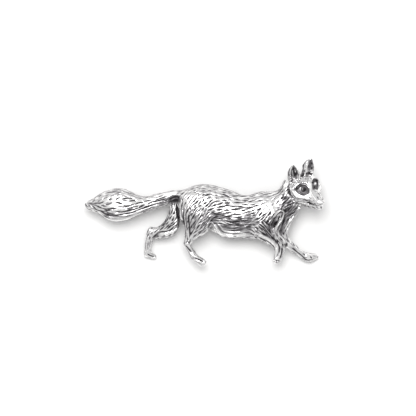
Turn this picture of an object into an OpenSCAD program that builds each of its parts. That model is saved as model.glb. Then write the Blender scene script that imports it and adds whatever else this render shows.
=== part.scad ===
// Cast fox brooch with a bar pin on its back. It lies face up, as on a table:
// +X runs from the tail to the head, +Y from the paws to the ears and +Z out of the face.

/* [Figure] */
// Length from the tip of the tail to the nose
figure_length = 62; // [56:0.5:70]
// Height from the lowest paw to the tip of the far ear
figure_height = 28.3; // [26:0.1:31]

/* [Trunk] */
// Greatest breadth of the trunk, from back line to belly line
trunk_breadth = 12; // [10.5:0.1:13]
// Height of the flank above the flat back
trunk_depth = 5.2; // [4.5:0.1:6]
// Breadth of the neck where it leaves the shoulders
neck_breadth = 8.3; // [7.4:0.1:9.2]

/* [Tail] */
// Greatest breadth of the brush
brush_breadth = 8.7; // [7.5:0.1:10]
// Height of the brush above the flat back
brush_depth = 4.3; // [3.4:0.1:5]

/* [Legs] */
// Greatest breadth of the near thigh
thigh_breadth = 9.2; // [8.2:0.1:10]
// Greatest breadth of the far thigh
far_thigh_breadth = 4.1; // [3.6:0.1:4.8]
// Thickness of the far thigh
far_thigh_depth = 2.5; // [2.1:0.1:3]
// Greatest breadth of the near upper foreleg
foreleg_breadth = 6.4; // [5.8:0.1:7]
// Breadth of a leg between hock and paw
shank_breadth = 1.65; // [1.4:0.05:2]

/* [Head] */
// Width of the head from cheek to cheek
head_width = 9.4; // [8.6:0.1:10.2]
// Length of the head from the back of the skull to the nose
head_length = 12.2; // [11:0.1:13.5]
// Height of the skull
head_height = 6.8; // [6:0.1:7.6]
// How far the middle of the eyes stands above the flat back
head_lift = 4.9; // [4.4:0.1:5.4]
// Depth of the head as a share of a full head, since cast relief is flattened
head_relief = 0.78; // [0.7:0.01:0.9]
// Height of an ear
ear_height = 5; // [4.4:0.1:5.8]
// Width of an ear at its base
ear_width = 3.6; // [3:0.1:4]
// Length of an eye socket
socket_length = 3.9; // [3.4:0.1:4.3]
// Height of an eye socket
socket_height = 2.7; // [2.3:0.1:3]
// Depth of an eye socket
socket_depth = 1; // [0.8:0.05:1.2]
// Diameter of an eyeball
eyeball = 1.4; // [1.1:0.05:1.6]

/* [Coat] */
// Length of a nick of the coat
nick_length = 1.7; // [1.2:0.1:2.2]
// Width of a nick
nick_width = 0.34; // [0.24:0.02:0.44]
// Depth of a nick
nick_depth = 0.24; // [0.16:0.02:0.32]
// Thickness of the raised folds at belly, shoulder and throat
fold = 0.8; // [0.6:0.05:1]
// How far the raised folds reach down into the casting
fold_root = 1.6; // [1.2:0.1:2.2]

/* [Bar pin] */
// Length of the plate that lies on the back
plate_length = 23; // [20:0.5:25]
// Width of the plate
plate_width = 3.4; // [2.8:0.1:4.2]
// Width of the hinge barrel across the plate
barrel_width = 2.7; // [2.2:0.1:2.8]
// Thickness of the plate
plate_thickness = 0.7; // [0.5:0.05:0.9]
// Diameter of the hinge barrel and of the catch
barrel = 2.5; // [2.2:0.1:3]
// Diameter of the pin stem
stem = 0.8; // [0.7:0.05:0.95]
// Length of the stem's point
point_length = 1.6; // [1:0.1:2.4]
// Room for cloth between the barrel and the plate
cloth_room = 0.7; // [0.5:0.1:1.2]
// Width of the catch along the stem
catch_width = 1.8; // [1.4:0.1:2.2]
// Thickness of the catch's wall
catch_wall = 0.45; // [0.35:0.05:0.5]
// Gap between the plate and the flat back
seat_gap = 0.1; // [0.05:0.01:0.2]

/* [Hidden] */

// The tables place sections on a sheet of 238 shares of the figure's length, counted from
// the tip of the tail, and 108 shares of its height, counted from the lowest paw.
length_shares = 238;
height_shares = 108;

// The flat back lies above the resting surface by the whole height of the bar pin.
back_height = barrel + cloth_room + plate_thickness + seat_gap;
silver = [0.72, 0.72, 0.73];

// Columns of the lofted parts: shares along, shares up, lift above the flat back, breadth,
// depth. Lift is a share of the trunk's depth, the others of the part's own sizes.
trunk_rows = [
    [ 92, 69.0, 0.10, 0.26, 0.42],
    [ 97, 66.0, 0.14, 0.50, 0.66],
    [105, 64.0, 0.16, 0.70, 0.78],
    [115, 63.0, 0.18, 0.83, 0.82],
    [125, 60.4, 0.18, 0.89, 0.80],
    [135, 55.6, 0.18, 0.97, 0.78],
    [145, 51.6, 0.18, 0.99, 0.78],
    [155, 49.8, 0.18, 0.92, 0.76],
    [165, 50.3, 0.18, 0.88, 0.78],
    [175, 51.3, 0.18, 0.99, 0.82],
    [184, 51.5, 0.18, 1.00, 0.80],
    [190, 49.5, 0.16, 0.90, 0.70],
    [193.5, 44.5, 0.14, 0.66, 0.54],
    [195.5, 38, 0.12, 0.37, 0.38],
    [196, 32, 0.10, 0.27, 0.30],
    [196, 28, 0.10, 0.17, 0.20]
];
neck_rows = [
    [180, 52, 0.14, 0.84, 0.58],
    [190, 57, 0.22, 1.02, 0.78],
    [198, 62, 0.26, 0.98, 0.76],
    [205, 68, 0.32, 0.88, 0.70],
    [210.6, 77.4, 0.38, 0.90, 0.60]
];
brush_rows = [
    [104, 70.6, 0.12, 0.22, 0.30],
    [ 97, 70.3, 0.20, 0.33, 0.44],
    [ 90, 69.0, 0.20, 0.40, 0.48],
    [ 83, 67.4, 0.20, 0.41, 0.46],
    [ 75, 65.8, 0.20, 0.42, 0.46],
    [ 67, 63.2, 0.20, 0.44, 0.48],
    [ 59, 61.2, 0.20, 0.50, 0.54],
    [ 52, 60.7, 0.20, 0.65, 0.62],
    [ 45, 60.4, 0.20, 0.84, 0.70],
    [ 37, 60.7, 0.20, 0.99, 0.76],
    [ 30, 60.8, 0.20, 1.00, 0.76],
    [ 23, 61.1, 0.20, 0.90, 0.70],
    [ 16, 61.5, 0.18, 0.68, 0.58],
    [ 11, 61.0, 0.16, 0.50, 0.46],
    [  6, 60.4, 0.16, 0.35, 0.34],
    [2.5, 60.8, 0.14, 0.22, 0.24],
    [0.2, 61.2, 0.14, 0.09, 0.12]
];
thigh_rows = [
    [113, 68, 0.30, 0.46, 0.38],
    [110.5, 64, 0.38, 0.76, 0.56],
    [110.5, 59, 0.43, 0.93, 0.66],
    [111.2, 52, 0.42, 0.99, 0.70],
    [111.3, 45, 0.40, 0.92, 0.62],
    [109.8, 38, 0.38, 0.72, 0.50],
    [107, 32.5, 0.36, 0.48, 0.38],
    [104, 27.5, 0.34, 0.27, 0.28],
    [102, 22.5, 0.34, 0.19, 0.19]
];
shoulder_rows = [
    [166, 66, 0.30, 0.40, 0.20],
    [169, 60, 0.38, 0.80, 0.46],
    [172, 54, 0.42, 0.97, 0.58],
    [174.5, 46, 0.43, 1.04, 0.60],
    [178, 38, 0.42, 1.00, 0.54],
    [184, 31, 0.38, 0.79, 0.42],
    [189.5, 25, 0.34, 0.56, 0.30],
    [192, 20, 0.30, 0.32, 0.16]
];
// Lift here is a share of the way from the resting surface, 0, to the flat back, 1,
// because the far paws reach down to the surface.
far_thigh_rows = [
    [ 92, 68, 1.34, 0.50, 0.35],
    [89.5, 62, 1.30, 0.64, 0.45],
    [ 89, 54, 1.24, 0.78, 0.50],
    [ 88, 46, 1.16, 0.94, 0.52],
    [ 85, 39.0, 1.04, 1.06, 0.52],
    [ 79, 34.8, 0.94, 0.95, 0.50],
    [73.5, 33.6, 0.84, 0.74, 0.44],
    [ 68, 33.3, 0.76, 0.60, 0.38],
    [64.8, 33.6, 0.72, 0.44, 0.28]
];

// Columns of a leg below the hock or knee, a chain of balls: shares along, shares up,
// diameter as a share of the shank's breadth, middle as a share of the flat back's height.
near_hind_balls = [
    [102, 22.4, 1.12, 1.40],
    [105, 16.0, 1.02, 1.34],
    [108, 10.0, 1.06, 1.30],
    [113.5, 6.4, 1.14, 1.28],
    [118.4, 3.7, 1.06, 1.26]
];
near_fore_balls = [
    [191.5, 24, 1.75, 1.38],
    [194.0, 19.5, 1.56, 1.36],
    [193.8, 14.5, 1.34, 1.34],
    [192.8, 9.8, 1.14, 1.32],
    [192.2, 5.6, 1.20, 1.30]
];
far_hind_balls = [
    [64.8, 34.4, 1.14, 0.76],
    [63.8, 28.0, 1.20, 0.66],
    [62.8, 21.0, 1.08, 0.52],
    [62.9, 15.4, 1.12, 0.38],
    [63.0, 11.5, 1.16, 0.26],
    [68.0, 9.0, 0.98, 0.17]
];
far_fore_balls = [
    [198, 29, 1.50, 1.06],
    [202.5, 22.4, 1.50, 0.98],
    [208, 18.4, 1.30, 0.82],
    [214, 13.8, 1.10, 0.60],
    [219, 10.2, 1.22, 0.42],
    [225, 8.0, 1.52, 0.28],
    [230.4, 9.0, 1.10, 0.19]
];

// Columns of a fold, a chain of small balls on the casting: shares along, shares up,
// diameter as a share of the fold's thickness, lift as a share of the trunk's depth.
belly_fold = [
    [126, 44, 0.9, 0.74],
    [131, 37, 1.1, 0.64],
    [137, 31, 1.3, 0.42],
    [147, 28.6, 1.4, 0.32],
    [160, 29.2, 1.4, 0.30],
    [173, 28.6, 1.3, 0.36],
    [184, 24, 1.1, 0.44]
];
shoulder_fold = [
    [187, 49, 0.9, 0.94],
    [193, 54.4, 1.1, 0.96],
    [197, 55.4, 1.1, 0.94],
    [198.4, 52, 1.1, 0.88],
    [194, 45, 1.1, 0.80],
    [190.4, 37, 1.0, 0.72],
    [194, 29.4, 1.0, 0.58],
    [198.4, 24, 1.0, 0.40]
];
throat_fold = [
    [214, 58, 1.0, 0.60],
    [205, 46.5, 1.1, 0.50],
    [201.4, 39, 1.1, 0.40],
    [201, 29, 1.1, 0.24]
];

// Columns of the forms of the head, seen from its side: along and height from the middle
// of the eyes, width, height. They are shares of the head's length, height, width, height.
skull_rows = [
    [-0.51, -0.18, 0.22, 0.28],
    [-0.44, -0.17, 0.58, 0.64],
    [-0.33, -0.16, 0.82, 0.90],
    [-0.21, -0.18, 0.98, 1.00],
    [-0.10, -0.20, 1.01, 0.92],
    [0.00, -0.20, 0.92, 0.78],
    [0.08, -0.24, 0.72, 0.62],
    [0.17, -0.30, 0.47, 0.48],
    [0.27, -0.35, 0.37, 0.39],
    [0.36, -0.38, 0.31, 0.33],
    [0.43, -0.38, 0.25, 0.27],
    [0.47, -0.38, 0.13, 0.14]
];
cheek_rows = [
    [-0.44, -0.34, 0.40, 0.30],
    [-0.33, -0.38, 0.82, 0.56],
    [-0.21, -0.40, 1.00, 0.66],
    [-0.09, -0.42, 0.98, 0.60],
    [0.03, -0.44, 0.74, 0.46],
    [0.13, -0.46, 0.42, 0.30]
];
jaw_rows = [
    [-0.20, -0.56, 0.54, 0.44],
    [0.00, -0.66, 0.43, 0.40],
    [0.15, -0.66, 0.32, 0.32],
    [0.29, -0.64, 0.25, 0.25],
    [0.39, -0.61, 0.20, 0.21],
    [0.44, -0.60, 0.10, 0.11]
];
// Columns of an ear: share of its height, width, thickness.
ear_rows = [
    [-0.25, 0.80, 0.66],
    [0.00, 0.98, 0.70],
    [0.22, 1.00, 0.66],
    [0.45, 0.86, 0.56],
    [0.68, 0.60, 0.42],
    [0.88, 0.30, 0.28],
    [1.00, 0.10, 0.12]
];
// Where an ear stands on the skull, as shares of the head's length, width and height.
ear_set = [-0.27, 0.22, 0.22];
ear_lean = 13;
near_ear_splay = 2;
near_ear_turn = -24;
far_ear_splay = 10;
far_ear_turn = 2;
// The hollow of an ear: how far forward and up as shares of its width and height, scale.
hollow_forward = 0.26;
hollow_up = 0.16;
hollow_scale = 0.77;
// Angles by which an eye turns to its side, tilts its outer corner down and looks up.
eye_turn = 50;
eye_tilt = 18;
eye_roll = 20;
// Where an eye and the nose lie, as shares of the head's length, width and height.
socket_set = [0.03, 0.222, 0.01];
nose_set = [0.45, 0, -0.375];
// Width of the nose, as a share of the head's width.
nose_share = 0.145;

// Columns of a coat: sides of the loft, angle of the first nick on its arch, angle from
// nick to nick, angle by which a nick slants.
trunk_coat = [22, 26, 18, 2];
neck_coat = [16, 46, 18, -8];
brush_coat = [18, 26, 25, 4];
thigh_coat = [16, 38, 22, 18];
shoulder_coat = [16, 44, 22, 10];
// Sides of the round forms.
leg_sides = 8;
fold_sides = 6;
skull_sides = 18;
small_sides = 10;

// Unit vectors of the turned head: its crown, where the nose points and its far side.
crown = [-0.055, 0.878, 0.472];
nose = [0.593, -0.357, 0.733];
far_side = cross(crown, nose);
eyes_at = [223, 79];
pin_at = [151, 62];

// The bar pin: blunt end of the point, where the catch's arc starts and how far it wraps.
point_end = stem / 4;
catch_start = 60;
catch_wrap = 270;
pin_sides = 48;

function place(x, y) = [
    (x - length_shares / 2) * figure_length / length_shares,
    (y - height_shares / 2) * figure_height / height_shares,
    0
];

function unit(v) = v / norm(v);

// A smooth row between b and c, with a and d as their neighbours.
function between(a, b, c, d, t) =
    0.5 * (2 * b + (c - a) * t + (2 * a - 5 * b + 4 * c - d) * t * t
        + (3 * b - a - 3 * c + d) * t * t * t);

function smooth(rows, steps) = let (last = len(rows) - 1) [
    for (i = [0 : last - 1], k = [0 : steps - 1])
        between(rows[max(i - 1, 0)], rows[i], rows[i + 1], rows[min(i + 2, last)], k / steps),
    rows[last]
];

// Sections across a path: middle, direction across, half breadth, height.
function sections(rows, breadth, depth, base, rise) =
    let (
        fine = smooth(rows, 2),
        last = len(fine) - 1,
        middles = [for (row = fine) place(row[0], row[1]) + [0, 0, base + row[2] * rise]]
    )
    [
        for (i = [0 : last])
            let (path = middles[min(i + 2, last)] - middles[max(i - 2, 0)])
            [middles[i], unit([-path.y, path.x, 0]), fine[i][3] * breadth / 2, fine[i][4] * depth]
    ];

function on_skin(section, angle) =
    section[0] + section[1] * section[2] * cos(angle) + [0, 0, section[3] * sin(angle)];

// A closed skin over a list of rings with the same number of points.
module skin(rings) {
    sides = len(rings[0]);
    last = len(rings) - 1;
    polyhedron(
        points = [for (ring = rings) each ring],
        faces = [
            [for (k = [0 : sides - 1]) k],
            [for (k = [sides - 1 : -1 : 0]) last * sides + k],
            for (i = [0 : last - 1], k = [0 : sides - 1])
                let (a = i * sides + k, b = i * sides + (k + 1) % sides)
                each [[a, a + sides, b + sides], [a, b + sides, b]]
        ]
    );
}

module loft(cuts, sides)
    skin([for (cut = cuts) [for (k = [0 : sides - 1]) on_skin(cut, 360 * k / sides)]]);

// A narrow eight-sided wedge that is pressed into the skin.
module wedge(at, along, outward) {
    aside = unit(cross(outward, along)) * nick_width / 2;
    ahead = along * nick_length / 2;
    up = outward * nick_depth;
    polyhedron(
        points = [at - ahead, at + ahead, at - aside, at + aside, at - up, at + up],
        faces = [
            [1, 5, 3], [1, 2, 5], [0, 3, 5], [0, 5, 2],
            [1, 3, 4], [1, 4, 2], [0, 4, 3], [0, 2, 4]
        ]
    );
}

// A loft with nicks in staggered rows over its front.
module coated(cuts, coat)
    difference() {
        loft(cuts, coat[0]);
        for (i = [2 : 2 : len(cuts) - 5], k = [0 : floor((180 - 2 * coat[1]) / coat[2])]) {
            angle = coat[1] + (k + (i % 4 == 0 ? 0.5 : 0)) * coat[2];
            if (angle < 180 - coat[1]) {
                at = on_skin(cuts[i], angle);
                along = unit(on_skin(cuts[i + 1], angle + coat[3]) - at);
                wedge(at, along, unit(at - cuts[i][0]));
            }
        }
    }

// Parts of the near side stand on the flat back.
function on_back(rows, breadth, depth) = sections(rows, breadth, depth, back_height, trunk_depth);

module chain(rows, breadth, base, rise, sides)
    for (i = [0 : len(rows) - 2])
        hull()
            for (row = [rows[i], rows[i + 1]])
                translate(place(row[0], row[1]) + [0, 0, base + row[3] * rise])
                    sphere(d = row[2] * breadth, $fn = sides);

module leg(rows) chain(rows, shank_breadth, 0, back_height, leg_sides);

// A fold is rooted in the casting, so that no hollow runs under it.
module raised_fold(rows)
    for (i = [0 : len(rows) - 2])
        hull()
            for (row = [rows[i], rows[i + 1]], drop = [0, fold_root])
                translate(place(row[0], row[1]) + [0, 0, back_height + row[3] * trunk_depth - drop])
                    sphere(d = row[2] * fold, $fn = fold_sides);

module in_head_frame()
    translate(place(eyes_at.x, eyes_at.y) + [0, 0, back_height + head_lift])
        multmatrix([
            [nose.x, far_side.x, crown.x, 0],
            [nose.y, far_side.y, crown.y, 0],
            [nose.z * head_relief, far_side.z * head_relief, crown.z * head_relief, 0],
            [0, 0, 0, 1]
        ])
            children();

function head_place(shares) = [
    shares[0] * head_length,
    shares[1] * head_width,
    shares[2] * head_height
];

// A form along the nose line, in the head's own frame.
module face_form(rows, sides)
    skin([
        for (row = smooth(rows, 2)) [
            for (k = [0 : sides - 1]) let (angle = 360 * k / sides)
                head_place([row[0], row[2] / 2 * cos(angle), row[1] + row[3] / 2 * sin(angle)])
        ]
    ]);

module ear_form(scale_by)
    skin([
        for (row = smooth(ear_rows, 2)) [
            for (k = [0 : small_sides - 1]) let (angle = 360 * k / small_sides) [
                -row[2] * ear_width / 2 * scale_by * sin(angle),
                row[1] * ear_width / 2 * scale_by * cos(angle),
                row[0] * ear_height
            ]
        ]
    ]);

// The hollow is a smaller ear, set forward and a little up.
module ear(side, splay, turn)
    translate(head_place([ear_set[0], side * ear_set[1], ear_set[2]]))
        rotate([-side * splay, ear_lean, turn])
            difference() {
                ear_form(1);
                translate([ear_width * hollow_forward, 0, ear_height * hollow_up])
                    scale([1, 1, hollow_scale])
                        ear_form(hollow_scale);
            }

module at_eye(side)
    translate(head_place([socket_set[0], side * socket_set[1], socket_set[2]]))
        rotate([0, 0, side * eye_turn])
            rotate([side * eye_tilt, -eye_roll, 0])
                children();

module fox_head()
    in_head_frame() {
        difference() {
            union() {
                face_form(skull_rows, skull_sides);
                face_form(cheek_rows, skull_sides);
            }
            for (side = [-1, 1])
                at_eye(side)
                    scale([socket_depth, socket_length / 2, socket_height / 2])
                        sphere(1, $fn = skull_sides);
        }
        face_form(jaw_rows, small_sides);
        translate(head_place(nose_set))
            sphere(d = head_width * nose_share, $fn = small_sides);
        for (side = [-1, 1])
            at_eye(side)
                translate([-socket_depth, 0, 0])
                    sphere(d = eyeball, $fn = small_sides);
        ear(-1, near_ear_splay, near_ear_turn);
        ear(1, far_ear_splay, far_ear_turn);
    }

module above(level) {
    reach = 2 * figure_length;
    translate([-reach / 2, -reach / 2, level])
        cube([reach, reach, reach]);
}

module fox_casting()
    color(silver)
        union() {
            intersection() {
                union() {
                    coated(on_back(trunk_rows, trunk_breadth, trunk_depth), trunk_coat);
                    coated(on_back(neck_rows, neck_breadth, trunk_depth), neck_coat);
                    coated(on_back(brush_rows, brush_breadth, brush_depth), brush_coat);
                    coated(on_back(thigh_rows, thigh_breadth, trunk_depth), thigh_coat);
                    coated(on_back(shoulder_rows, foreleg_breadth, trunk_depth), shoulder_coat);
                    raised_fold(belly_fold);
                    raised_fold(shoulder_fold);
                    raised_fold(throat_fold);
                    fox_head();
                }
                above(back_height);
            }
            intersection() {
                union() {
                    loft(
                        sections(far_thigh_rows, far_thigh_breadth, far_thigh_depth, 0, back_height),
                        small_sides
                    );
                    leg(near_hind_balls);
                    leg(near_fore_balls);
                    leg(far_hind_balls);
                    leg(far_fore_balls);
                }
                above(0);
            }
        }

barrel_x = plate_length / 2 - barrel / 2;
barrel_z = barrel / 2;
plate_z = barrel + cloth_room;

module bar_pin()
    color(silver)
        translate(place(pin_at.x, pin_at.y)) {
            plate();
            hinge_barrel();
            pin_stem();
            pin_catch();
        }

module plate() {
    straight = plate_length - plate_width;
    translate([-straight / 2, -plate_width / 2, plate_z])
        cube([straight, plate_width, plate_thickness]);
    for (end = [-1, 1])
        translate([end * straight / 2, 0, plate_z])
            cylinder(h = plate_thickness, d = plate_width, $fn = pin_sides);
}

// The barrel and the stem are drawn closed, as one plain piece with the plate.
module hinge_barrel() {
    translate([barrel_x, barrel_width / 2, barrel_z])
        rotate([90, 0, 0])
            cylinder(h = barrel_width, d = barrel, $fn = pin_sides);
    translate([barrel_x - barrel / 2, -barrel_width / 2, barrel_z])
        cube([barrel, barrel_width, plate_z - barrel_z + plate_thickness / 2]);
}

module pin_stem()
    translate([-barrel_x - catch_width / 2, 0, barrel_z])
        rotate([0, 90, 0]) {
            cylinder(h = 2 * barrel_x + catch_width / 2, d = stem, $fn = pin_sides);
            translate([0, 0, -point_length])
                cylinder(h = point_length, d1 = point_end, d2 = stem, $fn = pin_sides);
        }

// A hook that hangs from the plate round the stem and is open on the side of the paws.
module pin_catch()
    translate([-barrel_x - catch_width / 2, 0, barrel_z]) {
        rotate([0, 90, 0])
            rotate([0, 0, catch_start])
                rotate_extrude(angle = catch_wrap, $fn = pin_sides)
                    translate([barrel / 2 - catch_wall, 0])
                        square([catch_wall, catch_width]);
        translate([0, -catch_wall, barrel / 2 - catch_wall])
            cube([catch_width, 2 * catch_wall, cloth_room + catch_wall + plate_thickness / 2]);
    }

fox_casting();
bar_pin();
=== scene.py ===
import itertools
import math
import random
import bmesh
import bpy
import numpy as np
from mathutils import Matrix, Vector
from mathutils.bvhtree import BVHTree
from mathutils.kdtree import KDTree


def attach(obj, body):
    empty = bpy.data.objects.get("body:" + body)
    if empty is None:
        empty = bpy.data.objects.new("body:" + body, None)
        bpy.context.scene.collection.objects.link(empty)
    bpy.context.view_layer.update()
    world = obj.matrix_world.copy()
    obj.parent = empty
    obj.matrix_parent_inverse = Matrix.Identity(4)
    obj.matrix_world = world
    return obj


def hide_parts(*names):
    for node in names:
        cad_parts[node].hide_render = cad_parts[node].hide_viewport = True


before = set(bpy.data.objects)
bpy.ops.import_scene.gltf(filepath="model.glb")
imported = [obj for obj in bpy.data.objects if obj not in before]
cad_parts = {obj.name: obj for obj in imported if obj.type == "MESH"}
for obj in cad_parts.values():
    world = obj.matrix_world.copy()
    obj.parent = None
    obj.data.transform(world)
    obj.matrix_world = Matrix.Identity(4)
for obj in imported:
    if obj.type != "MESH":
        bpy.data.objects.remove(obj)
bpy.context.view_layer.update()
scene = bpy.context.scene
mmPerMetre = 1000.0

# The drawing sheet: across to the right and down, in 238ths of the fox's length.
sheet = {"middleAcross": 204.0, "middleDown": 212.0, "step": 0.2605, "rise": 0.2620}


def onSheet(across, down):
    return ((across - sheet["middleAcross"]) * sheet["step"], (sheet["middleDown"] - down) * sheet["rise"])


# Mesh helpers: plain arrays in millimetres.
def readFlat(items, name, width, kind):
    flat = np.empty(len(items) * width, kind)
    items.foreach_get(name, flat)
    return flat.reshape(-1, width)


def readPoints(mesh):
    return readFlat(mesh.vertices, "co", 3, np.float64)


def readNormals(mesh):
    return readFlat(mesh.vertices, "normal", 3, np.float32).astype(np.float64)


def writePoints(mesh, points):
    mesh.vertices.foreach_set("co", points.astype(np.float32).ravel())
    mesh.update()


def addPiece(name, data):
    piece = bpy.data.objects.new(name, data)
    scene.collection.objects.link(piece)
    return piece


def appliedMesh(piece):
    # the piece's mesh with its modifiers worked in
    graph = bpy.context.evaluated_depsgraph_get()
    return bpy.data.meshes.new_from_object(piece.evaluated_get(graph))


def placeTree(places):
    tree = KDTree(len(places))
    for i, place in enumerate(places.tolist()):
        tree.insert(place, i)
    tree.balance()
    return tree


def neighbourMean(values, edges, degree):
    count = len(values)
    total = np.bincount(edges[:, 0], weights=values[edges[:, 1]], minlength=count)
    total += np.bincount(edges[:, 1], weights=values[edges[:, 0]], minlength=count)
    return total / degree


def relaxPoints(points, edges, weight, rounds):
    degree = np.maximum(np.bincount(edges.ravel(), minlength=len(points)), 1)
    out = points.copy()
    for _ in range(rounds):
        mean = np.stack([neighbourMean(out[:, axis], edges, degree) for axis in range(3)], axis=1)
        out += weight[:, None] * (mean - out)
    return out


def relaxValues(values, edges, rounds):
    degree = np.maximum(np.bincount(edges.ravel(), minlength=len(values)), 1)
    for _ in range(rounds):
        values = 0.5 * values + 0.5 * neighbourMean(values, edges, degree)
    return values


def easeBetween(low, high, value):
    share = np.clip((value - low) / (high - low), 0.0, 1.0)
    return share * share * (3.0 - 2.0 * share)


def mixBy(share, low, high):
    # low where the share is 0, high where it is 1
    return low * (1 - share) + high * share


def riseFrom(low, share):
    return low + (1 - low) * share


def keepMost(values, near, added):
    values[near] = np.maximum(values[near], added)


def throughPoints(points, step):
    # a smooth line through the given points, in short steps
    points = [Vector(p) for p in points]
    padded = [points[0] * 2 - points[1]] + points + [points[-1] * 2 - points[-2]]
    out = []
    for a, b, c, d in zip(padded, padded[1:], padded[2:], padded[3:]):
        parts = max(2, int((c - b).length / step))
        for i in range(parts):
            t = i / parts
            bend = (2 * b) + (c - a) * t + (2 * a - 5 * b + 4 * c - d) * t * t
            out.append(0.5 * (bend + (3 * b - a - 3 * c + d) * t ** 3))
    out.append(points[-1])
    return out


def distanceToLine(points, line):
    # nearest distance to a run of short segments, and how far along the run it is, 0 to 1
    best = np.full(len(points), 1e9)
    along = np.zeros(len(points))
    parts = len(line) - 1
    for i in range(parts):
        start, span = line[i], line[i + 1] - line[i]
        size = max(float(span @ span), 1e-12)
        share = np.clip(((points - start) @ span) / size, 0.0, 1.0)
        gap = points - start - share[:, None] * span
        distance = np.sqrt((gap * gap).sum(axis=1))
        closer = distance < best
        best[closer] = distance[closer]
        along[closer] = (i + share[closer]) / parts
    return best, along


# The fox's blank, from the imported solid: lengths in mm, rounds and shares of the smoothing.
blankSet = {
    "weld": 0.0005, "voxel": 0.09, "pull": 0.9, "bodyRounds": 110,
    "headShare": 0.06, "legShare": 0.05, "footShare": 0.03,
    "restored": (0.2, 0.9), "coatRestore": 160, "fineRestore": 30, "above": 40.0, "middle": 6.0,
}
# Where the smoothing changes, from and to: on the sheet, and for the face's level in mm.
softSet = {
    "faceAcross": 305, "faceDown": 184, "faceWide": 22.0, "faceHigh": 31.0, "faceEdge": (0.9, 1.1),
    "faceLevel": (5.6, 6.8), "legs": (236, 242), "feet": (246, 252), "tailEnd": (88, 95),
    "hindLeg": (200, 208), "hindLeft": (140, 146), "hindRight": (176, 180),
}


def castingBlank():
    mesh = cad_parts["fox_casting"].data.copy()
    mesh.transform(Matrix.Scale(mmPerMetre, 4))
    joined = bmesh.new()
    joined.from_mesh(mesh)
    bmesh.ops.remove_doubles(joined, verts=joined.verts, dist=blankSet["weld"])
    joined.to_mesh(mesh)
    joined.free()
    blank = addPiece("foxBlank", mesh)
    remesh = blank.modifiers.new("cast", "REMESH")
    remesh.mode = "VOXEL"
    remesh.voxel_size = blankSet["voxel"]
    remesh.adaptivity = 0.0
    cast = appliedMesh(blank)
    bpy.data.objects.remove(blank)
    return cast


def softness(places):
    # how far each place may be smoothed: the coat freely, the face and the feet hardly
    across = places[:, 0] / sheet["step"] + sheet["middleAcross"]
    down = sheet["middleDown"] - places[:, 1] / sheet["rise"]
    aside = (across - softSet["faceAcross"]) / softSet["faceWide"]
    below = (down - softSet["faceDown"]) / softSet["faceHigh"]
    face = 1.0 - easeBetween(*softSet["faceEdge"], np.hypot(aside, below))
    face *= easeBetween(*softSet["faceLevel"], places[:, 2])
    hindLeg = easeBetween(*softSet["hindLeg"], down) * (1.0 - easeBetween(*softSet["hindRight"], across))
    hindLeg *= easeBetween(*softSet["hindLeft"], across)
    leg = np.maximum(easeBetween(*softSet["legs"], down), hindLeg)
    feet = np.maximum(easeBetween(*softSet["feet"], down), 1.0 - easeBetween(*softSet["tailEnd"], across))
    weight = mixBy(face, 1.0, blankSet["headShare"])
    weight = mixBy(leg, weight, blankSet["legShare"])
    return mixBy(feet, weight, blankSet["footShare"])


fox = castingBlank()
edges = readFlat(fox.edges, "vertices", 2, np.int32)
print("blank:", len(fox.vertices), "points")
cast = readPoints(fox)
base = relaxPoints(cast, edges, blankSet["pull"] * softness(cast), blankSet["bodyRounds"])
writePoints(fox, base)
# smoothing thins the form, so the lost thickness goes back on evenly
lost = ((cast - base) * readNormals(fox)).sum(axis=1)
freely = easeBetween(*blankSet["restored"], softness(cast))
lost = relaxValues(lost, edges, blankSet["fineRestore"])
lost = mixBy(freely, lost, relaxValues(lost, edges, blankSet["coatRestore"]))
base = base + readNormals(fox) * lost[:, None]
# Columns: across, down, reach, then the shift across and down, all in sheet steps.
nudges = [
    (303.6, 161.0, 3.6, -1.4, -0.6), (302.2, 166.0, 3.8, -1.7, 0.0), (291.0, 164.6, 4.0, 0.0, -0.6),
    (306.6, 161.6, 2.6, -2.2, -0.3), (305.4, 165.8, 2.4, -1.8, 0.0), (293.0, 170.5, 6.0, -1.0, 0.0),
    (289.4, 172.0, 3.6, -1.0, 0.0), (284.2, 182.2, 2.4, 0.4, -1.8), (296.8, 191.0, 2.6, -1.7, 0.9),
    (303.4, 195.0, 3.0, -0.4, 0.9), (309.6, 191.6, 2.6, -0.7, -0.3), (319.6, 184.0, 2.8, -1.5, 0.0),
    (312.4, 184.0, 2.4, -0.7, 0.0), (86.4, 203.8, 2.4, -1.0, 0.0), (88.4, 207.2, 2.4, -0.6, 1.4),
    (88.6, 202.4, 2.4, -0.2, -1.0), (196.4, 250.6, 4.0, 1.3, -0.2), (199.0, 265.0, 4.6, 0.0, 2.2),
    (184.4, 245.0, 3.0, -1.3, 0.5), (155.0, 239.4, 4.0, 0.3, 1.8), (149.4, 229.0, 4.0, 0.9, -1.6),
    (148.4, 248.0, 5.5, -1.1, 0.0), (146.0, 255.0, 3.6, -1.2, 0.2), (304.0, 261.6, 5.0, -0.2, 0.9),
    (292.0, 252.0, 4.0, -0.3, 0.8), (274.8, 260.4, 3.0, -1.2, 0.5),
    (275.8, 250.5, 2.8, -1.2, 0.0), (282.4, 250.5, 2.8, 1.6, 0.0), (276.2, 256.0, 2.4, -1.0, 0.0),
    (281.2, 256.0, 2.4, 1.1, 0.0), (318.6, 188.6, 2.2, -1.3, 0.0),
]
shift = np.zeros_like(base)
for across, down, reach, shiftAcross, shiftDown in nudges:
    x, y = onSheet(across, down)
    near = np.exp(-((base[:, 0] - x) ** 2 + (base[:, 1] - y) ** 2) / (reach * sheet["step"]) ** 2)
    shift[:, 0] += near * shiftAcross * sheet["step"]
    shift[:, 1] -= near * shiftDown * sheet["rise"]
base = base + shift
writePoints(fox, base)
print("blank smoothed")

surface = BVHTree.FromPolygons(readPoints(fox).tolist(), [p.vertices[:] for p in fox.polygons])


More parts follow.
